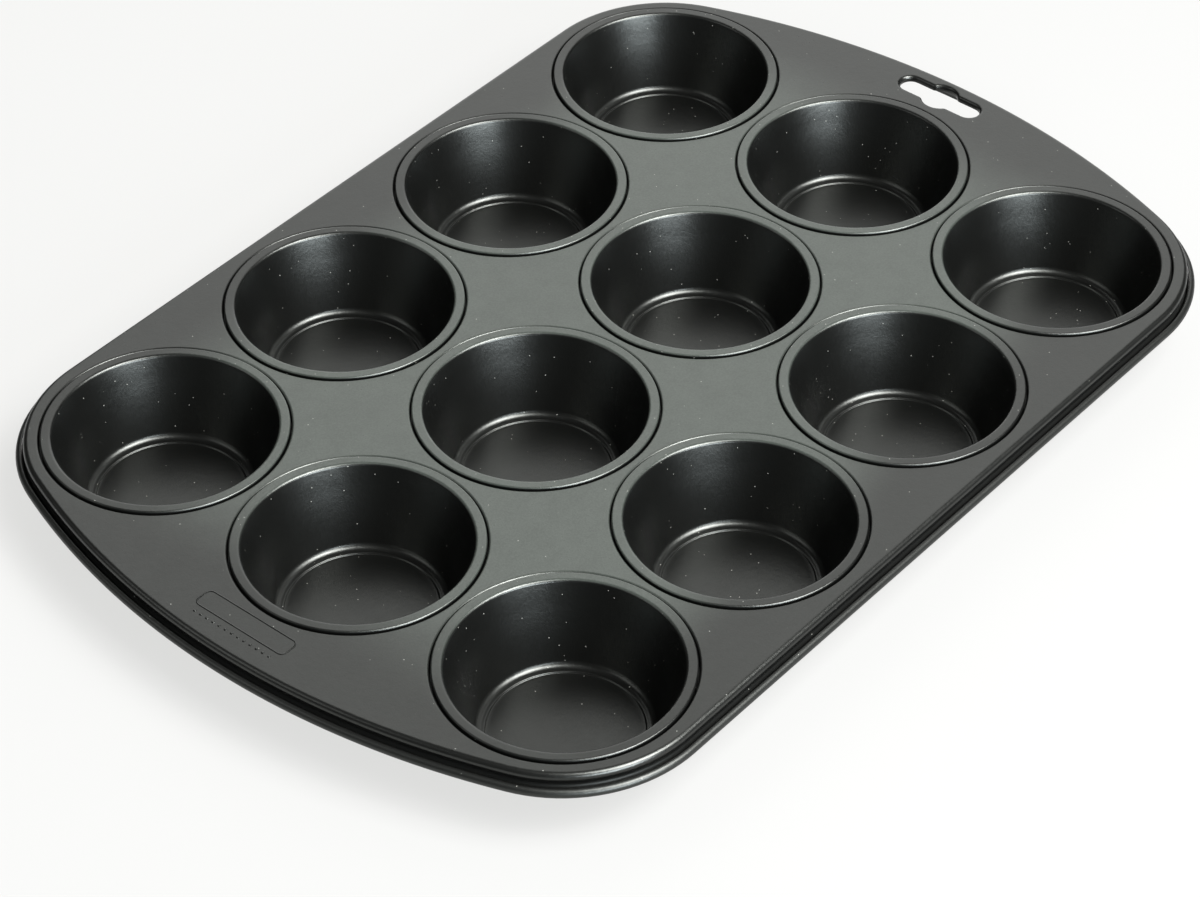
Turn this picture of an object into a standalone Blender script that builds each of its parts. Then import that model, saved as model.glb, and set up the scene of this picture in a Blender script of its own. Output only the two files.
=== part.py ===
"""Twelve-cup muffin tin of coated sheet steel, in metres with +Z up.

The tin stands on its cup bases at z = 0, centred on the origin, with its long
side along X. A flat tray plate carries twelve separately drawn cups. Each cup
hangs by a flange whose skirt is caught in a hook folded from the plate's hole,
and the plate's own edge is turned down and rolled outward round a steel wire.
"""

import math

import bmesh
import bpy
from mathutils import Vector

# The grid of cups
COLUMNS = 4
ROWS = 3
CUP_SPACING = 0.0038        # between the rings of two neighbouring cups

# The sheet, and the gap left between pieces that touch on the real tin
SHEET = 0.0005
GAP = 0.0003

# One cup
CUP_HEIGHT = 0.0285         # from the base's underside to the top of the ring
CUP_OPENING_RADIUS = 0.0361
CUP_BASE_RADIUS = 0.0252    # flat part of the base, inside
CUP_BASE_CORNER = 0.0026    # radius between base and wall, inside
CUP_LIP = 0.0013            # radius of the rounded lip at the opening
RING_WIDTH = 0.0040         # from the opening to the outside of the ring
RING_RISE = 0.0006          # ring above the plate
RING_EDGE = 0.0006          # rounding of the ring's outer edge
SKIRT_DEPTH = 0.0019        # skirt below the plate's top

# The plate
HOLE_BEND = 0.0009          # rounding where the plate turns down round a cup
SIDE_MARGIN = 0.0062        # from the outer rings to the plate's edge, long sides
CORNER_EASE = 0.0017        # corner arc's centre inside the corner cup's, on X and Y

# The turned-down, rolled rim and the wire inside it
RIM_BEND = 0.0018
RIM_DROP = 0.0060           # from the plate's top to the wire's centre
WIRE_RADIUS = 0.0008
CURL_START = math.radians(180)
CURL_END = math.radians(460)
WIRE_JOINT = 0.0010         # gap where the wire's two ends meet

# The hanging hole at the +X end: a slot with a round bulge in its middle
HANG_SLOT_LENGTH = 0.0330
HANG_SLOT_WIDTH = 0.0080
HANG_BULGE_DIAMETER = 0.0128
HANG_FILLET = 0.0020        # between the slot and the bulge
HANG_BEND = 0.0013          # rounding where the hole's edge turns down
HANG_COLLAR = 0.0022        # height of the turned-down edge
HANG_LAND_INNER = 0.0021    # flat left between the hole and the nearest cup
HANG_LAND_OUTER = 0.0008    # flat left between the hole and the rim's bend

# How finely the round pieces are drawn
CUP_SEGMENTS = 24
CORNER_SEGMENTS = 7
BOW_SEGMENTS = 8            # across a whole end, half on each side of the middle
CURL_SEGMENTS = 7
WIRE_SIDES = 6
BEND_SEGMENTS = 2
LIP_SEGMENTS = 1

# Worked out from the values above
RING_RADIUS = CUP_OPENING_RADIUS + RING_WIDTH
PITCH = 2 * RING_RADIUS + CUP_SPACING
PLATE_TOP = CUP_HEIGHT - RING_RISE
HOLE_RADIUS = RING_RADIUS + GAP
HANG_BULGE_RADIUS = HANG_BULGE_DIAMETER / 2
LAST_COLUMN_X = (COLUMNS - 1) / 2 * PITCH
LAST_ROW_Y = (ROWS - 1) / 2 * PITCH
HANG_X = LAST_COLUMN_X + HOLE_RADIUS + HOLE_BEND + HANG_LAND_INNER + HANG_BEND + HANG_BULGE_RADIUS
EDGE_END_X = HANG_X + HANG_BULGE_RADIUS + HANG_BEND + HANG_LAND_OUTER + RIM_BEND
CURL_RADIUS = WIRE_RADIUS + GAP


def clear_scene():
    """Remove every object that the scene starts with."""
    for item in list(bpy.data.objects):
        bpy.data.objects.remove(item, do_unlink=True)


def make_material(name, colour, roughness, metallic):
    """A plain Principled material of one colour."""
    material = bpy.data.materials.new(name)
    material.use_nodes = True
    shader = material.node_tree.nodes["Principled BSDF"]
    shader.inputs["Base Color"].default_value = (*colour, 1.0)
    shader.inputs["Roughness"].default_value = roughness
    shader.inputs["Metallic"].default_value = metallic
    return material


def coating(name):
    """Dark grey non-stick coating."""
    return make_material(name, (0.060, 0.064, 0.062), 0.38, 0.25)


def bare_wire(name):
    """Drawn steel wire."""
    return make_material(name, (0.46, 0.46, 0.45), 0.35, 1.0)


def finish_object(mesh_builder, name, material, sharp_angle=math.radians(35)):
    """Turn a bmesh into a named, smooth-shaded object with its own material."""
    bmesh.ops.recalc_face_normals(mesh_builder, faces=mesh_builder.faces)
    mesh = bpy.data.meshes.new(name)
    mesh_builder.to_mesh(mesh)
    mesh_builder.free()
    mesh.shade_smooth()
    mesh.set_sharp_from_angle(angle=sharp_angle)
    mesh.materials.append(material)
    item = bpy.data.objects.new(name, mesh)
    bpy.context.collection.objects.link(item)
    return item


def arc(centre, radius, start, end, segments):
    """Points on an arc, both ends included, from one angle to another."""
    step = (end - start) / segments
    angles = [start + step * index for index in range(segments + 1)]
    return [Vector((centre[0] + radius * math.cos(a), centre[1] + radius * math.sin(a))) for a in angles]


def left_normal(a, b):
    """Unit normal on the left of the way from a to b."""
    along = (b - a).normalized()
    return Vector((-along.y, along.x))


def sheet_section(face, thickness, lead_in):
    """Closed section of bent sheet: one face's points, then the other face's, back again.

    The sheet lies on the left of the given face. lead_in is the direction in
    which the sheet arrives at the first point.
    """
    normals = [Vector((-lead_in[1], lead_in[0]))]
    for a, b in zip(face, face[1:]):
        normals.append(left_normal(a, b))
    normals.append(normals[-1])
    other_face = []
    for index, point in enumerate(face):
        before = normals[index]
        after = normals[index + 1]
        mitre = (before + after) / (1 + before.dot(after))
        other_face.append(point + mitre * thickness)
    return list(face), list(reversed(other_face))


def cup_section():
    """Section of one cup as (radius, height), from the axis out to the skirt and back."""
    top = CUP_HEIGHT
    floor = SHEET
    corner_centre = (CUP_BASE_RADIUS, floor + CUP_BASE_CORNER)
    lip_centre = (CUP_OPENING_RADIUS + CUP_LIP, top - CUP_LIP)
    edge_centre = (RING_RADIUS - RING_EDGE, top - RING_EDGE)
    # The wall is the straight line that touches the corner and the lip from inside.
    run = Vector(lip_centre) - Vector(corner_centre)
    slope = math.atan2(run.y, run.x)
    turn = math.asin((CUP_BASE_CORNER + CUP_LIP) / run.length)
    wall = slope + turn
    face = [Vector((0.0, floor))]
    face += arc(corner_centre, CUP_BASE_CORNER, math.radians(-90), wall - math.radians(90), BEND_SEGMENTS)
    face += arc(lip_centre, CUP_LIP, wall + math.radians(90), math.radians(90), LIP_SEGMENTS)
    face += arc(edge_centre, RING_EDGE, math.radians(90), 0.0, 1)
    face.append(Vector((RING_RADIUS, PLATE_TOP - SKIRT_DEPTH)))
    # The sheet lies on the right of this face, so it is mirrored left to right and back.
    mirrored = [Vector((-point.x, point.y)) for point in face]
    near, far = sheet_section(mirrored, SHEET, (-1.0, 0.0))
    return [Vector((-point.x, point.y)) for point in near + far]


def build_cup(name, centre_x, centre_y):
    """One drawn cup: base, tapered wall, rounded lip, flat ring and turned-down skirt."""
    cup = bmesh.new()
    section = [cup.verts.new((point.x, 0.0, point.y)) for point in cup_section()]
    edges = [cup.edges.new(pair) for pair in zip(section, section[1:])]
    bmesh.ops.spin(
        cup, geom=section + edges, cent=(0, 0, 0), axis=(0, 0, 1), angle=math.tau,
        steps=CUP_SEGMENTS, use_merge=True, use_duplicate=False,
    )
    bmesh.ops.remove_doubles(cup, verts=cup.verts, dist=SHEET / 100)
    item = finish_object(cup, name, coating(name + "_coating"))
    item.location = (centre_x, centre_y, 0.0)
    return item


def with_normals(points, centre, sign):
    """Pair each point of an arc with its unit normal away from (or towards) the centre."""
    middle = Vector(centre)
    return [(point, sign * (point - middle).normalized()) for point in points]


def corner_centre_xy():
    """Centre and radius of the plate's corner arc at +X, +Y."""
    radius = RING_RADIUS + SIDE_MARGIN + CORNER_EASE
    return Vector((LAST_COLUMN_X - CORNER_EASE, LAST_ROW_Y - CORNER_EASE)), radius


def mirror_quarter(quarter):
    """Complete a closed outline from the quarter that runs from the +Y axis to the +X axis."""
    def flipped(stations, x_sign, y_sign):
        scale = Vector((x_sign, y_sign))
        return [(point * scale, normal * scale) for point, normal in stations]

    outline = list(quarter)
    outline += flipped(quarter[-2::-1], 1, -1)
    outline += flipped(quarter[1:], -1, -1)
    outline += flipped(quarter[-2:0:-1], -1, 1)
    return outline


def plate_outline():
    """The plate's edge, where the rim's wall stands, as (point, outward normal) pairs."""
    centre, radius = corner_centre_xy()
    reach = EDGE_END_X - centre.x
    bow_radius = (reach ** 2 + centre.y ** 2 - radius ** 2) / (2 * (reach - radius))
    bow_centre = Vector((EDGE_END_X - bow_radius, 0.0))
    meet = math.atan2(centre.y - bow_centre.y, centre.x - bow_centre.x)
    corner = arc(centre, radius, math.radians(90), meet, CORNER_SEGMENTS)
    bow = arc(bow_centre, bow_radius, meet, 0.0, BOW_SEGMENTS // 2)
    side_middle = (Vector((0.0, centre.y + radius)), Vector((0.0, 1.0)))
    quarter = [side_middle]
    quarter += with_normals(corner, centre, 1)
    quarter += with_normals(bow[1:], bow_centre, 1)
    return mirror_quarter(quarter)


def hang_hole_outline():
    """The hanging hole's clear opening, as (point, normal into the sheet) pairs."""
    half_width = HANG_SLOT_WIDTH / 2
    end_centre = (0.0, HANG_SLOT_LENGTH / 2 - half_width)
    fillet_x = half_width + HANG_FILLET
    fillet_y = math.sqrt((HANG_BULGE_RADIUS + HANG_FILLET) ** 2 - fillet_x ** 2)
    fillet_centre = (fillet_x, fillet_y)
    meet = math.atan2(fillet_y, fillet_x)
    end = arc(end_centre, half_width, math.radians(90), 0.0, 3)
    fillet = arc(fillet_centre, HANG_FILLET, math.radians(180), meet + math.radians(180), 2)
    bulge = arc((0.0, 0.0), HANG_BULGE_RADIUS, meet, 0.0, 2)
    quarter = with_normals(end, end_centre, 1)
    quarter += with_normals(fillet, fillet_centre, -1)
    quarter += with_normals(bulge[1:], (0.0, 0.0), 1)
    middle = Vector((HANG_X, 0.0))
    return [(point + middle, normal) for point, normal in mirror_quarter(quarter)]


def cup_centres():
    """Column number, row number and centre of each cup."""
    for column in range(COLUMNS):
        for row in range(ROWS):
            x = (column - (COLUMNS - 1) / 2) * PITCH
            y = (row - (ROWS - 1) / 2) * PITCH
            yield column + 1, row + 1, Vector((x, y))


def cup_hole_outline(centre):
    """The inside of the collar round one cup, as (point, normal into the sheet) pairs."""
    points = arc(centre, HOLE_RADIUS, 0.0, math.tau, CUP_SEGMENTS)
    return with_normals(points[:-1], centre, 1)


def rim_section():
    """Rim as (distance out from the plate's edge, height): bend, wall and roll round the wire."""
    face = arc((-RIM_BEND, PLATE_TOP - RIM_BEND), RIM_BEND, math.radians(90), 0.0, BEND_SEGMENTS)
    wire_centre = (CURL_RADIUS, PLATE_TOP - RIM_DROP)
    face += arc(wire_centre, CURL_RADIUS, CURL_START, CURL_END, CURL_SEGMENTS)
    mirrored = [Vector((-point.x, point.y)) for point in face]
    near, far = sheet_section(mirrored, SHEET, (-1.0, 0.0))
    return [Vector((-point.x, point.y)) for point in near + far]


def cup_hook_section():
    """Hook round a cup as (distance out from the collar, height): collar, floor and up-leg."""
    bottom = PLATE_TOP - SKIRT_DEPTH - GAP
    leg = -2 * GAP - SHEET
    leg_top = PLATE_TOP + RING_RISE - SHEET - GAP
    face = arc((HOLE_BEND, PLATE_TOP - HOLE_BEND), HOLE_BEND, math.radians(90), math.radians(180), 1)
    face.append(Vector((0.0, bottom)))
    face.append(Vector((leg, bottom)))
    face.append(Vector((leg, leg_top)))
    near, far = sheet_section(face, SHEET, (-1.0, 0.0))
    return near + far


def hang_collar_section():
    """Turned-down edge of the hanging hole as (distance out from the opening, height)."""
    face = arc((HANG_BEND, PLATE_TOP - HANG_BEND), HANG_BEND, math.radians(90), math.radians(180), BEND_SEGMENTS)
    face.append(Vector((0.0, PLATE_TOP - HANG_COLLAR)))
    near, far = sheet_section(face, SHEET, (-1.0, 0.0))
    return near + far


def sweep(target, outline, section):
    """Carry an open section round a closed outline; return the first and last rings of vertices."""
    rings = []
    for offset, height in section:
        ring = [target.verts.new((*(point + normal * offset), height)) for point, normal in outline]
        rings.append(ring)
    count = len(outline)
    for upper, lower in zip(rings, rings[1:]):
        for index in range(count):
            following = (index + 1) % count
            target.faces.new((upper[index], upper[following], lower[following], lower[index]))
    return rings[0], rings[-1]


def fill_between(target, rings):
    """Fill the flat sheet between one outer ring and the rings of its holes."""
    edges = []
    for ring in rings:
        for a, b in zip(ring, ring[1:] + ring[:1]):
            edges.append(target.edges.get((a, b)))
    bmesh.ops.triangle_fill(target, use_beauty=True, use_dissolve=False, edges=edges)


def build_tray_plate():
    """The tray: one flat sheet with a rolled rim, twelve hooked cup holes and the hanging hole."""
    plate = bmesh.new()
    swept = [sweep(plate, plate_outline(), rim_section())]
    for _column, _row, centre in cup_centres():
        swept.append(sweep(plate, cup_hole_outline(centre), cup_hook_section()))
    swept.append(sweep(plate, hang_hole_outline(), hang_collar_section()))
    fill_between(plate, [first for first, _last in swept])
    fill_between(plate, [last for _first, last in swept])
    return finish_object(plate, "tray_plate", coating("tray_plate_coating"))


def build_rim_wire():
    """The steel wire inside the rolled rim, bent to the tin's outline with its ends butted."""
    outline = plate_outline()
    side_y = outline[0][0].y
    start = (Vector((WIRE_JOINT / 2, side_y)), Vector((0.0, 1.0)))
    finish = (Vector((-WIRE_JOINT / 2, side_y)), Vector((0.0, 1.0)))
    stations = [start] + outline[1:] + [finish]
    section = arc((CURL_RADIUS, PLATE_TOP - RIM_DROP), WIRE_RADIUS, 0.0, math.tau, WIRE_SIDES)[:-1]
    wire = bmesh.new()
    rings = []
    for point, normal in stations:
        rings.append([wire.verts.new((*(point + normal * out), height)) for out, height in section])
    for ring, following in zip(rings, rings[1:]):
        for side in range(WIRE_SIDES):
            beside = (side + 1) % WIRE_SIDES
            wire.faces.new((ring[side], ring[beside], following[beside], following[side]))
    wire.faces.new(rings[0])
    wire.faces.new(rings[-1])
    return finish_object(wire, "rim_wire", bare_wire("rim_wire_steel"))


def build_tin():
    """The whole muffin tin, its pieces held by one empty at the middle of its base."""
    clear_scene()
    tin = bpy.data.objects.new("muffin_tin", None)
    bpy.context.collection.objects.link(tin)
    pieces = [build_tray_plate(), build_rim_wire()]
    for column, row, centre in cup_centres():
        pieces.append(build_cup(f"cup_{column}_{row}", centre.x, centre.y))
    for piece in pieces:
        piece.parent = tin


build_tin()
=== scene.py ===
"""Twelve-cup muffin tin: drawn steel cups folded into a tray plate with a rolled wire rim."""
import math

import bmesh
import bpy
from mathutils import Matrix, Quaternion, Vector


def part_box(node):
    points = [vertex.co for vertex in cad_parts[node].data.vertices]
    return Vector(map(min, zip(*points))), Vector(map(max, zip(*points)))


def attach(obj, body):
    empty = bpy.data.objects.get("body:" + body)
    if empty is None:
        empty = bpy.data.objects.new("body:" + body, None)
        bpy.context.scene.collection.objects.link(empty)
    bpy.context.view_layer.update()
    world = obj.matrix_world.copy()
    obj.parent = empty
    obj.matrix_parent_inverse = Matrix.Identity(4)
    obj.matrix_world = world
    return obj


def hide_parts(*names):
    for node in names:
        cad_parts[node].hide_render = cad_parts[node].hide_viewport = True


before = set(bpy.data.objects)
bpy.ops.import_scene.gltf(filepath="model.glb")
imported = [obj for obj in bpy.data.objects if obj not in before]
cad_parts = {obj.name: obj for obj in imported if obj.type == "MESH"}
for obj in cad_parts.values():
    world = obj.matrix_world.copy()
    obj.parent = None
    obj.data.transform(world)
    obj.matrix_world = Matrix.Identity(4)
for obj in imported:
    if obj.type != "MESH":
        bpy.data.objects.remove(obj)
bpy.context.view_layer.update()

# ---------------------------------------------------------------- cups
# Twelve cups, each drawn from one steel blank: a stepped base to stand on, a
# tapered wall, a rounded lip, a flat ring and a skirt that the tray's hook holds.
# The dark non-stick coating covers both faces of the sheet.
SHEET = 0.0005
CUP_SIDES = 96
FOOT_FLAT = 0.0243          # the sunken disc that the cup stands on
FOOT_STEP = 0.00045         # how far the disc lies below the ledge round it
FOOT_STEP_SIDES = 6
LEDGE_START = 0.02475       # the ledge is the level ring between the step and the corner
LEDGE_END = 0.02535
BASE_CORNER = 0.0026
WALL_ANGLE = 71.43          # degrees above level
WALL_BANDS = 5
LIP = 0.0013
RING_WIDTH = 0.0040
RING_EDGE = 0.0006
SKIRT = 0.0019

cup_names = sorted(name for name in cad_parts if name.startswith("cup_"))
low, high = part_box(cup_names[0])
CUP_HEIGHT = high.z - low.z
RING_RADIUS = (high.x - low.x) / 2
OPENING = RING_RADIUS - RING_WIDTH
PLATE_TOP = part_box("tray_plate")[1].z


def deselect_all():
    """Leave nothing selected or in edit mode."""
    if bpy.context.object and bpy.context.object.mode == "EDIT":
        bpy.ops.object.mode_set(mode="OBJECT")
    bpy.ops.object.select_all(action="DESELECT")


def open_edges(piece, where=None):
    """Go into edit mode with the open edges of the piece selected, all or those at a place."""
    bpy.context.view_layer.objects.active = piece
    if piece.mode != "EDIT":
        bpy.ops.object.mode_set(mode="EDIT")
    bpy.ops.mesh.select_mode(type="EDGE")
    bpy.ops.mesh.select_all(action="DESELECT")
    bpy.ops.mesh.select_non_manifold(
        extend=False, use_wire=False, use_boundary=True, use_multi_face=False,
        use_non_contiguous=False, use_verts=False)
    if where:
        mesh = bmesh.from_edit_mesh(piece.data)
        for edge in mesh.edges:
            if edge.select and not where((edge.verts[0].co + edge.verts[1].co) / 2):
                edge.select = False
        mesh.select_flush(False)
        bmesh.update_edit_mesh(piece.data)


def arc_steps(centre, radius, start, end, count):
    """Points (out, up) along an arc given in degrees, without its first point."""
    turn = (end - start) / count
    angles = [math.radians(start + turn * step) for step in range(1, count + 1)]
    return [(centre[0] + radius * math.cos(a), centre[1] + radius * math.sin(a)) for a in angles]


def thicken(piece, depth, bevel=0.00012):
    """Give the drawn skin its sheet thickness away from its face, and ease the cut edges."""
    deselect_all()
    bpy.context.view_layer.objects.active = piece
    piece.select_set(True)
    wall = piece.modifiers.new("sheet", "SOLIDIFY")
    wall.thickness = depth
    wall.offset = -1
    wall.use_even_offset = True
    bpy.ops.object.modifier_apply(modifier=wall.name)
    ease = piece.modifiers.new("cut edges", "BEVEL")
    ease.width = bevel
    ease.segments = 2
    ease.limit_method = "ANGLE"
    ease.angle_limit = math.radians(60)
    bpy.ops.object.modifier_apply(modifier=ease.name)
    bpy.ops.object.shade_smooth_by_angle(angle=math.radians(40))
    piece.select_set(False)


class Link:
    """One output in a material's node tree; arithmetic on it adds Math nodes."""

    def __init__(self, tree, socket=None):
        self.tree = tree
        self.socket = socket

    def node(self, kind, settings=None, inputs=None, output=0):
        """Add a node: its settings first, then its inputs; give one of its outputs."""
        made = self.tree.nodes.new(kind)
        for key, value in (settings or {}).items():
            setattr(made, key, value)
        for key, value in (inputs or {}).items():
            if isinstance(value, Link):
                self.tree.links.new(value.socket, made.inputs[key])
            else:
                made.inputs[key].default_value = value
        return Link(self.tree, made.outputs[output])

    def math(self, operation, first, second=0.0):
        """Add one Math node."""
        return self.node("ShaderNodeMath", {"operation": operation}, {0: first, 1: second})

    def __add__(self, other):
        return self.math("ADD", self, other)

    __radd__ = __add__

    def __sub__(self, other):
        return self.math("SUBTRACT", self, other)

    def __rsub__(self, other):
        return self.math("SUBTRACT", other, self)

    def __mul__(self, other):
        return self.math("MULTIPLY", self, other)

    __rmul__ = __mul__

    def __gt__(self, other):
        return self.math("GREATER_THAN", self, other)

    def __lt__(self, other):
        return self.math("LESS_THAN", self, other)

    def clamp(self, low=0.0, high=1.0):
        """Keep the value between low and high."""
        return self.node("ShaderNodeClamp", None, {"Value": self, "Min": low, "Max": high})

    def ramp(self, low, high):
        """0 below low, 1 above high, smooth between."""
        return self.node("ShaderNodeMapRange", {"interpolation_type": "SMOOTHSTEP"},
                         {"Value": self, "From Min": low, "From Max": high})


def mix_colour(factor, a, b):
    """Blend two colours; each is a Link or a plain RGB triple."""
    def full(colour):
        return colour if isinstance(colour, Link) else (*colour, 1.0)

    sockets = {0: factor, 6: full(a), 7: full(b)}
    return factor.node("ShaderNodeMix", {"data_type": "RGBA"}, sockets, output=2)


COAT_IOR = 1.6
COAT_GLINT = (0.97, 1.0, 0.95, 1.0)
PAINTED_SHEEN_TONE = (0.037, 0.042, 0.037)       # painted sheen: a lighter grey painted on the level top faces between the cups, standing in for reflected light
SHEEN_ENDS = (0.125, 0.170)              # where it fades out towards the short sides
SHEEN_SIDES = (0.080, 0.115)             # and towards the long sides
SHEEN_SKIN = (0.0005, 0.0001)            # and below the top face
MOTTLE_DARKNESS = 0.6
SPECK_REACH = 0.12
SPECK_TONE = (0.22, 0.22, 0.20)
PEEL_DEPTH = 0.00005
FOLD_BLUR = 0.0006
FOLD_DULLNESS = 0.10


def coating(name, tone, top, roughness, sparkle, dull_below=None):
    """Dark non-stick coating with a lighter painted sheen on the top faces between the cups, orange-peel
    surface, tiny pale specks.
    """
    material = bpy.data.materials.new(name)
    material.use_nodes = True
    tree = material.node_tree
    shader = tree.nodes["Principled BSDF"]
    place = Link(tree).node("ShaderNodeTexCoord", output="Object")
    cloud = place.node("ShaderNodeTexNoise", None,
                       {"Vector": place, "Scale": 14.0, "Detail": 3.0, "Roughness": 0.5})
    blotch = place.node("ShaderNodeTexNoise", None,
                        {"Vector": place, "Scale": 160.0, "Detail": 4.0, "Roughness": 0.6})
    grain = place.node("ShaderNodeTexNoise", None,
                       {"Vector": place, "Scale": 1500.0, "Detail": 3.0, "Roughness": 0.6})
    peel = place.node("ShaderNodeTexNoise", None,
                      {"Vector": place, "Scale": 520.0, "Detail": 2.0, "Roughness": 0.5})
    cells = {"Vector": place, "Scale": 620.0, "Randomness": 1.0}
    near = place.node("ShaderNodeTexVoronoi", None, cells, output="Distance")
    pick = place.node("ShaderNodeTexVoronoi", None, cells, output="Color")
    chosen = pick.node("ShaderNodeSeparateColor", None, {"Color": pick}, output="Red")
    speck = (near < SPECK_REACH) * (chosen > 1.0 - sparkle)
    along, across, height = (
        place.node("ShaderNodeSeparateXYZ", None, {"Vector": place}, output=way) for way in "XYZ")
    # Painted sheen: a lighter tone painted on the top faces between the cups stands in for light reflected
    # there; it fades towards the sides and below the top.
    far_along = along.math("ABSOLUTE", along) + (cloud - 0.5) * 0.03
    far_across = across.math("ABSOLUTE", across) + (cloud - 0.5) * 0.03
    middle = (1 - far_along.ramp(*SHEEN_ENDS)) * (1 - far_across.ramp(*SHEEN_SIDES))
    middle = middle * height.ramp(top - SHEEN_SKIN[0], top - SHEEN_SKIN[1])
    shade = mix_colour(middle, tone, PAINTED_SHEEN_TONE)
    dark_tone = tuple(MOTTLE_DARKNESS * part for part in tone)
    dark_sheen = tuple(MOTTLE_DARKNESS * part for part in PAINTED_SHEEN_TONE)
    darker = mix_colour(middle, dark_tone, dark_sheen)
    mottle = blotch.ramp(0.30, 0.75) * 0.25 + grain.ramp(0.38, 0.62) * 0.45
    shade = mix_colour(mottle.clamp(), shade, darker)
    shade = mix_colour(speck * 0.8, shade, SPECK_TONE)
    tree.links.new(shade.socket, shader.inputs["Base Color"])
    gloss = roughness + (cloud - 0.5) * 0.06 + (grain - 0.5) * 0.14 + (blotch - 0.5) * 0.06
    if dull_below:
        gloss = gloss + (1 - height.ramp(dull_below - FOLD_BLUR, dull_below)) * FOLD_DULLNESS
    tree.links.new(gloss.clamp(0.05, 0.9).socket, shader.inputs["Roughness"])
    relief = grain * 0.35 + peel * 0.65
    bump = relief.node("ShaderNodeBump", None,
                       {"Strength": 1.0, "Distance": PEEL_DEPTH, "Height": relief}, output="Normal")
    tree.links.new(bump.socket, shader.inputs["Normal"])
    shader.inputs["IOR"].default_value = COAT_IOR
    shader.inputs["Specular Tint"].default_value = COAT_GLINT
    return material


CUP_TONE = (0.0040, 0.0041, 0.0038)
cup_coat = coating("cup non-stick", CUP_TONE, CUP_HEIGHT, roughness=0.32, sparkle=0.09)


def wall_path():
    """The cup's inner face from the standing disc to the skirt's end, as (radius, height)."""
    floor = SHEET
    ledge = floor + FOOT_STEP
    lip_centre = (OPENING + LIP, CUP_HEIGHT - LIP)
    edge_centre = (RING_RADIUS - RING_EDGE, CUP_HEIGHT - RING_EDGE)
    path = [(FOOT_FLAT - 0.0012, floor), (FOOT_FLAT - 0.0001, floor)]
    spread = LEDGE_START - FOOT_FLAT
    for step in range(1, FOOT_STEP_SIDES + 1):
        t = step / FOOT_STEP_SIDES
        path.append((FOOT_FLAT + spread * t, floor + FOOT_STEP * (3 * t * t - 2 * t ** 3)))
    path += [(LEDGE_END, ledge)]
    path += arc_steps((LEDGE_END, ledge + BASE_CORNER), BASE_CORNER, -90, WALL_ANGLE - 90, 14)
    foot = path[-1]
    lip = arc_steps(lip_centre, LIP, WALL_ANGLE + 90, 90, 8)
    lip_start = (lip_centre[0] + LIP * math.cos(math.radians(WALL_ANGLE + 90)),
                 lip_centre[1] + LIP * math.sin(math.radians(WALL_ANGLE + 90)))
    for step in range(1, WALL_BANDS + 1):
        t = step / WALL_BANDS
        path.append((foot[0] + (lip_start[0] - foot[0]) * t, foot[1] + (lip_start[1] - foot[1]) * t))
    path += lip
    path += [(lip[-1][0] + 0.0002, CUP_HEIGHT), (edge_centre[0] - 0.0001, CUP_HEIGHT)]
    path += [(edge_centre[0], CUP_HEIGHT)]
    path += arc_steps(edge_centre, RING_EDGE, 90, 0, 6)
    path += [(RING_RADIUS, PLATE_TOP - SKIRT)]
    return path


deselect_all()
bpy.ops.mesh.primitive_circle_add(
    vertices=CUP_SIDES, radius=FOOT_FLAT * 0.5, fill_type="NGON", location=(0, 0, 0))
cup = bpy.context.object
cup.name = "drawn cup"
cup.data.transform(Matrix.Translation((0, 0, SHEET)))
open_edges(cup)
radius, height = FOOT_FLAT * 0.5, SHEET
for next_radius, next_height in wall_path():
    bpy.ops.mesh.extrude_edges_move(TRANSFORM_OT_translate={"value": (0, 0, next_height - height)})
    grow = next_radius / radius
    bpy.ops.transform.resize(value=(grow, grow, 1), center_override=(0, 0, 0))
    radius, height = next_radius, next_height
deselect_all()
thicken(cup, SHEET)

cup_centres = []
for name in cup_names:
    low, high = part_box(name)
    centre = Vector(((low.x + high.x) / 2, (low.y + high.y) / 2, 0))
    cup_centres.append(centre)
    piece = cup.copy()
    piece.data = cup.data.copy()
    piece.name = name.replace("cup_", "drawn_cup_")
    piece.data.transform(Matrix.Translation(centre))
    piece.data.materials.clear()
    piece.data.materials.append(cup_coat)
    bpy.context.collection.objects.link(piece)
    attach(piece, "root")
    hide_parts(name)
bpy.data.objects.remove(cup)

# ---------------------------------------------------------------- tray plate
# One coated steel sheet. Its edge is turned down and rolled outward, each cup
# hole is folded into a hook under the cup's skirt, and one bowed end has a
# slotted hanging hole with a turned-down edge.
GAP = 0.0003                # stands for pressed contact in the seams
HOLE_BEND = 0.0009
RIM_BEND = 0.0018
RIM_DROP = 0.0060
WIRE = 0.0008
CURL = WIRE + GAP
SLOT_LENGTH = 0.0330
SLOT_WIDTH = 0.0080
BULGE = 0.0064
SLOT_FILLET = 0.0020
SLOT_BEND = 0.0013
SLOT_COLLAR = 0.0022
SLOT_LAND = 0.0021          # flat metal between the last cup's hole and the hanging hole
CORNER_EASE = 0.0017        # the corner arcs' centres stand in from the last cups' centres
CUP_LAND = 0.0030           # the edge of a cup's hole lies within this of its ring
low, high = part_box("tray_plate")
EDGE_X = high.x - CURL - WIRE - GAP - SHEET
EDGE_Y = high.y - CURL - WIRE - GAP - SHEET
last_x = max(centre.x for centre in cup_centres)
last_y = max(centre.y for centre in cup_centres)
corner = Vector((last_x - CORNER_EASE, last_y - CORNER_EASE, 0))
corner_radius = EDGE_Y - corner.y
reach = EDGE_X - corner.x
bow_radius = (reach ** 2 + corner.y ** 2 - corner_radius ** 2) / (2 * (reach - corner_radius))
bow = Vector((EDGE_X - bow_radius, 0, 0))
meet = math.atan2(corner.y - bow.y, corner.x - bow.x)
slot_x = last_x + RING_RADIUS + GAP + HOLE_BEND + SLOT_LAND + SLOT_BEND + BULGE


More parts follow.
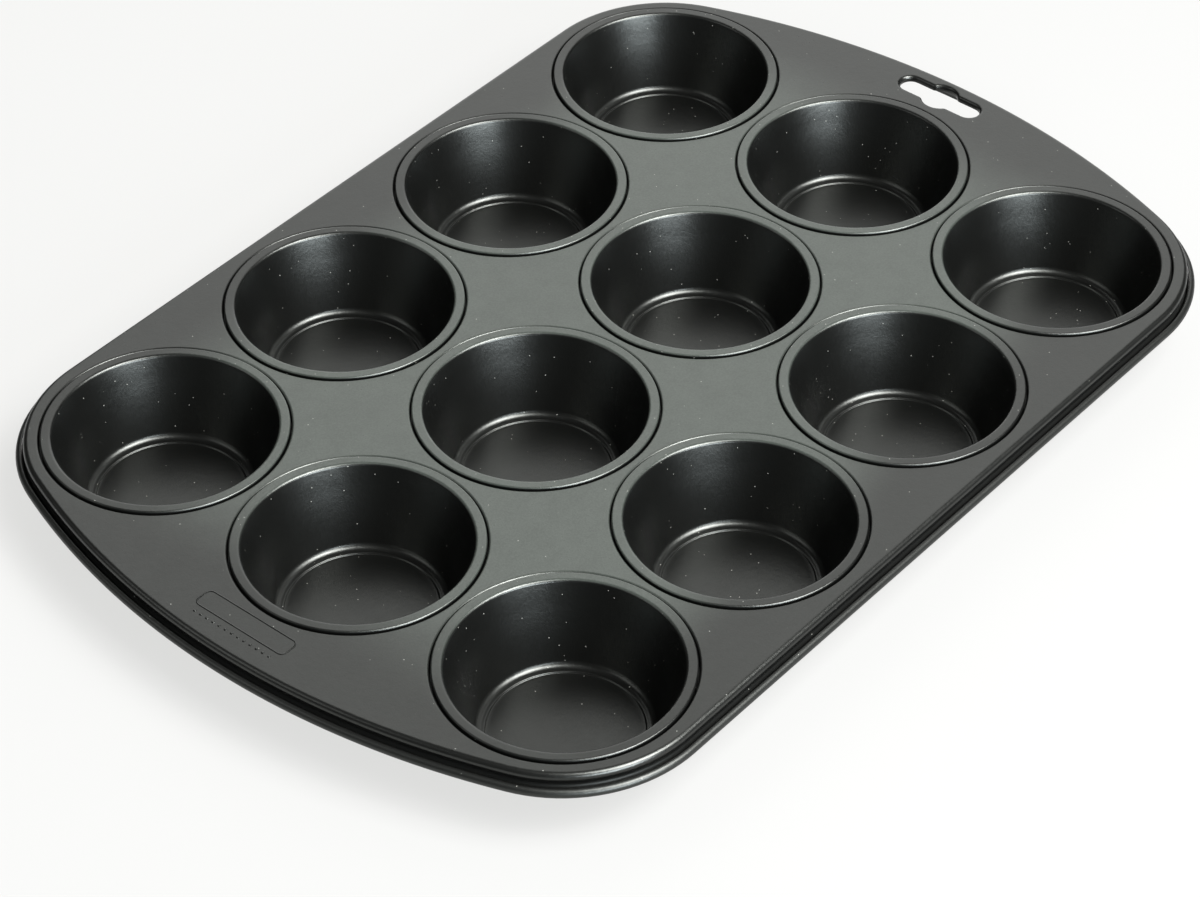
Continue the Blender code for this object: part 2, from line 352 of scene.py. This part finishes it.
def first_point(name, place):
    """Start a drawing as a single point."""
    deselect_all()
    bpy.ops.mesh.primitive_plane_add(size=0.001, location=(0, 0, 0))
    drawing = bpy.context.object
    drawing.name = name
    bpy.ops.object.mode_set(mode="EDIT")
    bpy.ops.mesh.select_mode(type="VERT")
    bpy.ops.mesh.select_all(action="SELECT")
    bpy.ops.mesh.merge(type="CENTER")
    bpy.ops.mesh.select_all(action="SELECT")
    bpy.ops.transform.translate(value=place)
    return drawing


def line_to(start, end):
    """Draw a straight edge on from the selected point."""
    bpy.ops.mesh.extrude_vertices_move(
        TRANSFORM_OT_translate={"value": (end[0] - start[0], end[1] - start[1], 0)})


def sweep_about(centre, degrees, steps):
    """Draw an arc on from the selected point; positive angles go clockwise seen from above."""
    bpy.ops.mesh.spin(steps=steps, dupli=False, angle=math.radians(degrees), center=centre, axis=(0, 0, 1))


def complete(drawing):
    """Mirror a quarter drawing to both sides and back to front."""
    bpy.ops.object.mode_set(mode="OBJECT")
    mirror = drawing.modifiers.new("mirror", "MIRROR")
    mirror.use_axis = (True, True, False)
    mirror.merge_threshold = 0.00001
    bpy.ops.object.modifier_apply(modifier=mirror.name)


def edge_drawing(name, inset, gap=0.0):
    """Draw the tray's outline, set in from its edge; a gap leaves it open at both long sides."""
    drawing = first_point(name, (gap / 2, EDGE_Y - inset, 0))
    line_to((gap / 2, 0), (corner.x, 0))
    sweep_about(corner, 90 - math.degrees(meet), 20)
    sweep_about(bow, math.degrees(meet), 24)
    complete(drawing)
    return drawing


def slot_drawing(name, grow):
    """Draw the hanging hole's outline, grown outward: a slot with a round bulge in its middle."""
    half = SLOT_WIDTH / 2
    end = SLOT_LENGTH / 2 - half
    fillet_y = math.sqrt((BULGE + SLOT_FILLET) ** 2 - (half + SLOT_FILLET) ** 2)
    fillet = Vector((half + SLOT_FILLET, fillet_y, 0))
    lean = math.degrees(math.atan2(fillet.y, fillet.x))
    drawing = first_point(name, (0, end + half + grow, 0))
    sweep_about((0, end, 0), 90, 12)
    line_to((0, end), (0, fillet.y))
    sweep_about(fillet, -lean, 8)
    sweep_about((0, 0, 0), lean, 8)
    complete(drawing)
    drawing.data.transform(Matrix.Translation((slot_x, 0, 0)))
    return drawing


def near_cup(point):
    """Whether a point is on the edge of a cup's hole."""
    return any((point - centre).to_2d().length < RING_RADIUS + CUP_LAND for centre in cup_centres)


def near_slot(point):
    """Whether a point is on the edge of the hanging hole."""
    margin = SLOT_BEND + 2 * FLAT_STRIP
    across, along = abs(point.x - slot_x), abs(point.y)
    in_bulge = math.hypot(across, along) < BULGE + margin
    return in_bulge or (across < SLOT_WIDTH / 2 + SLOT_FILLET and along < SLOT_LENGTH / 2 + margin)


def near_rim(point):
    """Whether a point is on the tray's outer edge."""
    return not near_cup(point) and not near_slot(point)


def note_away(piece):
    """Note at each open corner the level way off the sheet; the folds' new corners copy it."""
    open_edges(piece)
    mesh = bmesh.from_edit_mesh(piece.data)
    away = mesh.verts.layers.float_vector.new("away")
    for vertex in mesh.verts:
        push = Vector()
        for edge in vertex.link_edges:
            if edge.is_boundary:
                loop = edge.link_loops[0]
                along = loop.link_loop_next.vert.co - loop.vert.co
                push += Vector((along.y, -along.x, 0)).normalized()
        if push.length:
            vertex[away] = push * 2 / push.length_squared
    bmesh.update_edit_mesh(piece.data)


def fold(piece, where, path):
    """Carry the sheet's open edge at a place along a path of (out, height) steps."""
    open_edges(piece, where)
    out = path[0][0]
    for next_out, next_height in path[1:]:
        bpy.ops.mesh.extrude_edges_move()
        mesh = bmesh.from_edit_mesh(piece.data)
        away = mesh.verts.layers.float_vector["away"]
        for vertex in mesh.verts:
            if vertex.select:
                vertex.co += vertex[away] * (next_out - out)
                vertex.co.z = next_height
        bmesh.update_edit_mesh(piece.data)
        out = next_out
    deselect_all()


def turned_down(bend, steps):
    """A path from the flat sheet round its bend, with a narrow flat strip first."""
    path = [(-bend - FLAT_STRIP, PLATE_TOP), (-bend, PLATE_TOP)]
    return path + arc_steps((-bend, PLATE_TOP - bend), bend, 90, 0, steps)


FLAT_STRIP = 0.0002
HOOK_CORNER = 0.0002
NECK = 0.0007               # how far the wall is pinched in above the wire
NECK_BANDS = 12
CURL_END = 460              # degrees, round past the start of the curl at 180
drawings = [edge_drawing("pressed_tray_plate", RIM_BEND + FLAT_STRIP)]
drawings.append(slot_drawing("slot outline", SLOT_BEND + FLAT_STRIP))
for centre in cup_centres:
    deselect_all()
    bpy.ops.mesh.primitive_circle_add(
        vertices=CUP_SIDES, radius=RING_RADIUS + GAP + HOLE_BEND + FLAT_STRIP, location=(0, 0, 0))
    outline = bpy.context.object
    outline.data.transform(Matrix.Translation(centre))
    drawings.append(outline)
deselect_all()
for drawing in drawings:
    drawing.select_set(True)
plate = drawings[0]
bpy.context.view_layer.objects.active = plate
bpy.ops.object.join()
plate.data.transform(Matrix.Translation((0, 0, PLATE_TOP)))
bpy.ops.object.mode_set(mode="EDIT")
bpy.ops.mesh.select_all(action="SELECT")
bpy.ops.mesh.fill(use_beauty=True)
if bmesh.from_edit_mesh(plate.data).faces[:][0].normal.z < 0:
    bpy.ops.mesh.flip_normals()
note_away(plate)

wire_height = PLATE_TOP - RIM_DROP
rim_path = turned_down(RIM_BEND, 10)
bend_end = PLATE_TOP - RIM_BEND
for step in range(1, NECK_BANDS + 1):
    t = step / NECK_BANDS
    rim_path.append((-NECK * math.sin(math.pi * t) ** 2, bend_end + (wire_height - bend_end) * t))
rim_path += arc_steps((CURL, wire_height), CURL, 180, CURL_END, 28)
fold(plate, near_rim, rim_path)

hook_floor = PLATE_TOP - SKIRT - GAP
hook_leg = 2 * GAP + SHEET
hook_path = turned_down(HOLE_BEND, 6) + [(0, hook_floor + HOOK_CORNER)]
hook_path += [(HOOK_CORNER, hook_floor), (hook_leg - HOOK_CORNER, hook_floor)]
hook_path += [(hook_leg, hook_floor + HOOK_CORNER), (hook_leg, CUP_HEIGHT - SHEET - GAP)]
fold(plate, near_cup, hook_path)
fold(plate, near_slot, turned_down(SLOT_BEND, 8) + [(0, PLATE_TOP - SLOT_COLLAR)])
thicken(plate, SHEET)

TRAY_TONE = (0.0060, 0.0061, 0.0057)
BEAD_DROP = 0.0040          # the rolled bead starts this far below the top
tray_coat = coating("tray non-stick", TRAY_TONE, PLATE_TOP, roughness=0.31, sparkle=0.04,
                    dull_below=PLATE_TOP - BEAD_DROP)
plate.data.materials.append(tray_coat)
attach(plate, "root")
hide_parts("tray_plate")

# ---------------------------------------------------------------- maker's mark
# A plain cartouche and a row of dots, pressed very lightly into the sheet from
# below at the end with no hanging hole, so that they only just catch the light.
MARK_RISE = 0.00017
MARK_LINE = 0.00030
MARK_LONG = 0.0370
MARK_WIDE = 0.0070
MARK_CORNER = 0.0020
MARK_X = -0.1735
MARK_Y = 0.0020
DOT_SPACING = 0.0026
DOT_COUNT = 13
DOT_RADIUS = 0.0006
DOT_ROW = 0.0062            # from the middle of the cartouche to the row of dots


def raised_line(name, points, closed):
    """A low rounded ridge that follows the points on the plate's top."""
    deselect_all()
    curve = bpy.data.curves.new(name, "CURVE")
    curve.dimensions = "3D"
    line = curve.splines.new("POLY")
    line.points.add(len(points) - 1)
    for spot, (x, y) in zip(line.points, points):
        spot.co = (x, y, PLATE_TOP + MARK_RISE - MARK_LINE, 1)
    line.use_cyclic_u = closed
    curve.bevel_depth = MARK_LINE
    curve.bevel_resolution = 2
    ridge = bpy.data.objects.new(name, curve)
    bpy.context.collection.objects.link(ridge)
    ridge.select_set(True)
    bpy.context.view_layer.objects.active = ridge
    bpy.ops.object.convert(target="MESH")
    return bpy.context.object


frame_points = []
for turn, side_x, side_y in ((0, 1, 1), (90, -1, 1), (180, -1, -1), (270, 1, -1)):
    bend = (MARK_X + side_x * (MARK_WIDE / 2 - MARK_CORNER),
            MARK_Y + side_y * (MARK_LONG / 2 - MARK_CORNER))
    frame_points += arc_steps(bend, MARK_CORNER, turn - 15, turn + 90, 7)
mark = raised_line("pressed_mark", frame_points, True)
dots = []
for index in range(DOT_COUNT):
    deselect_all()
    bpy.ops.mesh.primitive_uv_sphere_add(segments=12, ring_count=8, radius=DOT_RADIUS, location=(0, 0, 0))
    dot = bpy.context.object
    dot.data.transform(Matrix.Diagonal((1, 1, MARK_LINE / DOT_RADIUS, 1)))
    spot_y = MARK_Y + (index - (DOT_COUNT - 1) / 2) * DOT_SPACING
    spot_z = PLATE_TOP + MARK_RISE - MARK_LINE
    dot.data.transform(Matrix.Translation((MARK_X - DOT_ROW, spot_y, spot_z)))
    dots.append(dot)
deselect_all()
for dot in dots:
    dot.select_set(True)
mark.select_set(True)
bpy.context.view_layer.objects.active = mark
bpy.ops.object.join()
bpy.ops.object.mode_set(mode="EDIT")
bpy.ops.mesh.select_all(action="SELECT")
bpy.ops.mesh.bisect(plane_co=(0, 0, PLATE_TOP), plane_no=(0, 0, 1), clear_inner=True, use_fill=True)
deselect_all()
mark.select_set(True)
bpy.ops.object.shade_smooth_by_angle(angle=math.radians(40))
mark.data.materials.clear()
mark.data.materials.append(tray_coat)
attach(mark, "root")

# ---------------------------------------------------------------- rim wire
# A drawn steel wire bent to the tray's outline, which stiffens the rolled rim.
# Its two ends butt together at the middle of one long side.
WIRE_JOINT = 0.0010
wire = edge_drawing("bent_rim_wire", -CURL, gap=WIRE_JOINT)
wire.data.transform(Matrix.Translation((0, 0, wire_height)))
bpy.ops.object.mode_set(mode="EDIT")
bpy.ops.mesh.select_mode(type="VERT")
bpy.ops.mesh.select_all(action="DESELECT")
mesh = bmesh.from_edit_mesh(wire.data)
for vertex in mesh.verts:
    vertex.select_set(len(vertex.link_edges) == 1 and vertex.co.y < 0)
bmesh.update_edit_mesh(wire.data)
bpy.ops.mesh.edge_face_add()
deselect_all()
wire.select_set(True)
bpy.ops.object.convert(target="CURVE")
wire = bpy.context.object
wire.data.bevel_depth = WIRE
wire.data.bevel_resolution = 3
wire.data.use_fill_caps = True
bpy.ops.object.convert(target="MESH")
wire = bpy.context.object
wire.name = "bent_rim_wire"
bpy.ops.object.shade_smooth_by_angle(angle=math.radians(40))


def drawn_steel(name):
    """Bare drawn wire: bright, with a fine grain and dull patches."""
    material = bpy.data.materials.new(name)
    material.use_nodes = True
    tree = material.node_tree
    shader = tree.nodes["Principled BSDF"]
    place = Link(tree).node("ShaderNodeTexCoord", output="Object")
    patch = place.node("ShaderNodeTexNoise", None, {"Vector": place, "Scale": 90.0, "Detail": 4.0})
    grain = place.node("ShaderNodeTexNoise", None, {"Vector": place, "Scale": 2600.0, "Detail": 3.0})
    shade = mix_colour(patch.ramp(0.35, 0.70), (0.50, 0.50, 0.49), (0.36, 0.35, 0.34))
    tree.links.new(shade.socket, shader.inputs["Base Color"])
    gloss = 0.30 + (patch - 0.5) * 0.20 + (grain - 0.5) * 0.10
    tree.links.new(gloss.clamp(0.10, 0.80).socket, shader.inputs["Roughness"])
    bump = grain.node("ShaderNodeBump", None,
                      {"Strength": 0.3, "Distance": 0.00002, "Height": grain}, output="Normal")
    tree.links.new(bump.socket, shader.inputs["Normal"])
    shader.inputs["Metallic"].default_value = 1.0
    return material


wire.data.materials.clear()
wire.data.materials.append(drawn_steel("drawn wire"))
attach(wire, "root")
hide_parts("rim_wire")

# ---------------------------------------------------------------- studio
# A white table that glows a little, a large soft light with a hot centre above
# the near side, and panels round the tin that the dark coating mirrors.
TABLE_SIZE = 8.0
TABLE_DROP = 0.0002         # keeps the cups' bases clear of the table's surface
TABLE_GLOW = 0.58
deselect_all()
bpy.ops.mesh.primitive_plane_add(size=TABLE_SIZE, location=(0, 0, 0))
table = bpy.context.object
table.data.transform(Matrix.Translation((0, 0, -TABLE_DROP)))
table.name = "pale_table"
bpy.ops.object.mode_set(mode="EDIT")
bpy.ops.mesh.subdivide(number_cuts=6)
bpy.ops.object.mode_set(mode="OBJECT")
white = bpy.data.materials.new("pale table top")
white.use_nodes = True
shader = white.node_tree.nodes["Principled BSDF"]
place = Link(white.node_tree).node("ShaderNodeTexCoord", output="Object")
cloud = place.node("ShaderNodeTexNoise", None, {"Vector": place, "Scale": 3.0, "Detail": 2.0})
paint = mix_colour(cloud, (0.082, 0.082, 0.081), (0.090, 0.090, 0.089))
white.node_tree.links.new(paint.socket, shader.inputs["Base Color"])
shader.inputs["Roughness"].default_value = 0.9
shader.inputs["Specular IOR Level"].default_value = 0.1
glow = mix_colour(cloud, (0.99, 0.99, 0.975), (1.0, 1.0, 0.985))
white.node_tree.links.new(glow.socket, shader.inputs["Emission Color"])
shader.inputs["Emission Strength"].default_value = TABLE_GLOW
table.data.materials.append(white)


def soft_light(name, towards, distance, width, height, radiance, tint=(1.0, 1.0, 1.0)):
    """A rectangular panel light that faces the tin; its power follows from its size."""
    data = bpy.data.lights.new(name, "AREA")
    data.shape = "RECTANGLE"
    data.size = width
    data.size_y = height
    data.energy = radiance * width * height * 4
    data.color = tint
    panel = bpy.data.objects.new(name, data)
    way = Vector(towards).normalized()
    panel.location = way * distance
    panel.rotation_mode = "QUATERNION"
    panel.rotation_quaternion = way.to_track_quat("Z", "Y")
    bpy.context.collection.objects.link(panel)
    return panel


soft_light("main softbox", (0.05, -0.58, 0.81), 2.0, 1.30, 1.30, 12.5)
soft_light("hot centre", (0.05, -0.58, 0.81), 1.98, 0.32, 0.32, 30.0)
soft_light("far panel", (0.66, 0.48, 0.50), 2.6, 2.3, 3.1, 1.24)
soft_light("left panel", (-0.61, 0.49, 0.61), 2.2, 1.2, 0.9, 1.1)
soft_light("near side panel", (-0.31, -0.93, 0.33), 2.2, 1.3, 0.8, 13.0, (0.88, 0.94, 1.0))

# The room's white walls show behind the tin and soften the shadows, while black
# flags keep most of them out of the coating's reflections.
world = bpy.data.worlds.new("studio")
bpy.context.scene.world = world
world.use_nodes = True
air = world.node_tree.nodes["Background"]
air.inputs["Color"].default_value = (0.98, 0.99, 1.0, 1.0)
ray = Link(world.node_tree).node("ShaderNodeLightPath", output="Is Camera Ray")
scattered = Link(world.node_tree, ray.socket.node.outputs["Is Diffuse Ray"])
level = 0.04 + ray * 0.98 + scattered * 0.30
world.node_tree.links.new(level.socket, air.inputs["Strength"])

LENS = 113.36
CAMERA_PLACE = Vector((-0.7296, -0.6146, 0.8196))
CAMERA_TARGET = Vector((-0.0448, -0.0294, 0.0283))
CAMERA_ROLL = -0.593        # degrees
camera_data = bpy.data.cameras.new("camera")
camera_data.lens = LENS
camera_data.sensor_width = 36.0
camera_data.clip_end = 50.0
camera = bpy.data.objects.new("camera", camera_data)
camera.location = CAMERA_PLACE
aim = CAMERA_TARGET - camera.location
camera.rotation_mode = "QUATERNION"
roll = Quaternion((0, 0, 1), math.radians(CAMERA_ROLL))
camera.rotation_quaternion = aim.to_track_quat("-Z", "Y") @ roll
bpy.context.collection.objects.link(camera)
bpy.context.scene.camera = camera
bpy.context.scene.view_settings.view_transform = "Standard"
bpy.context.scene.view_settings.look = "Medium High Contrast"
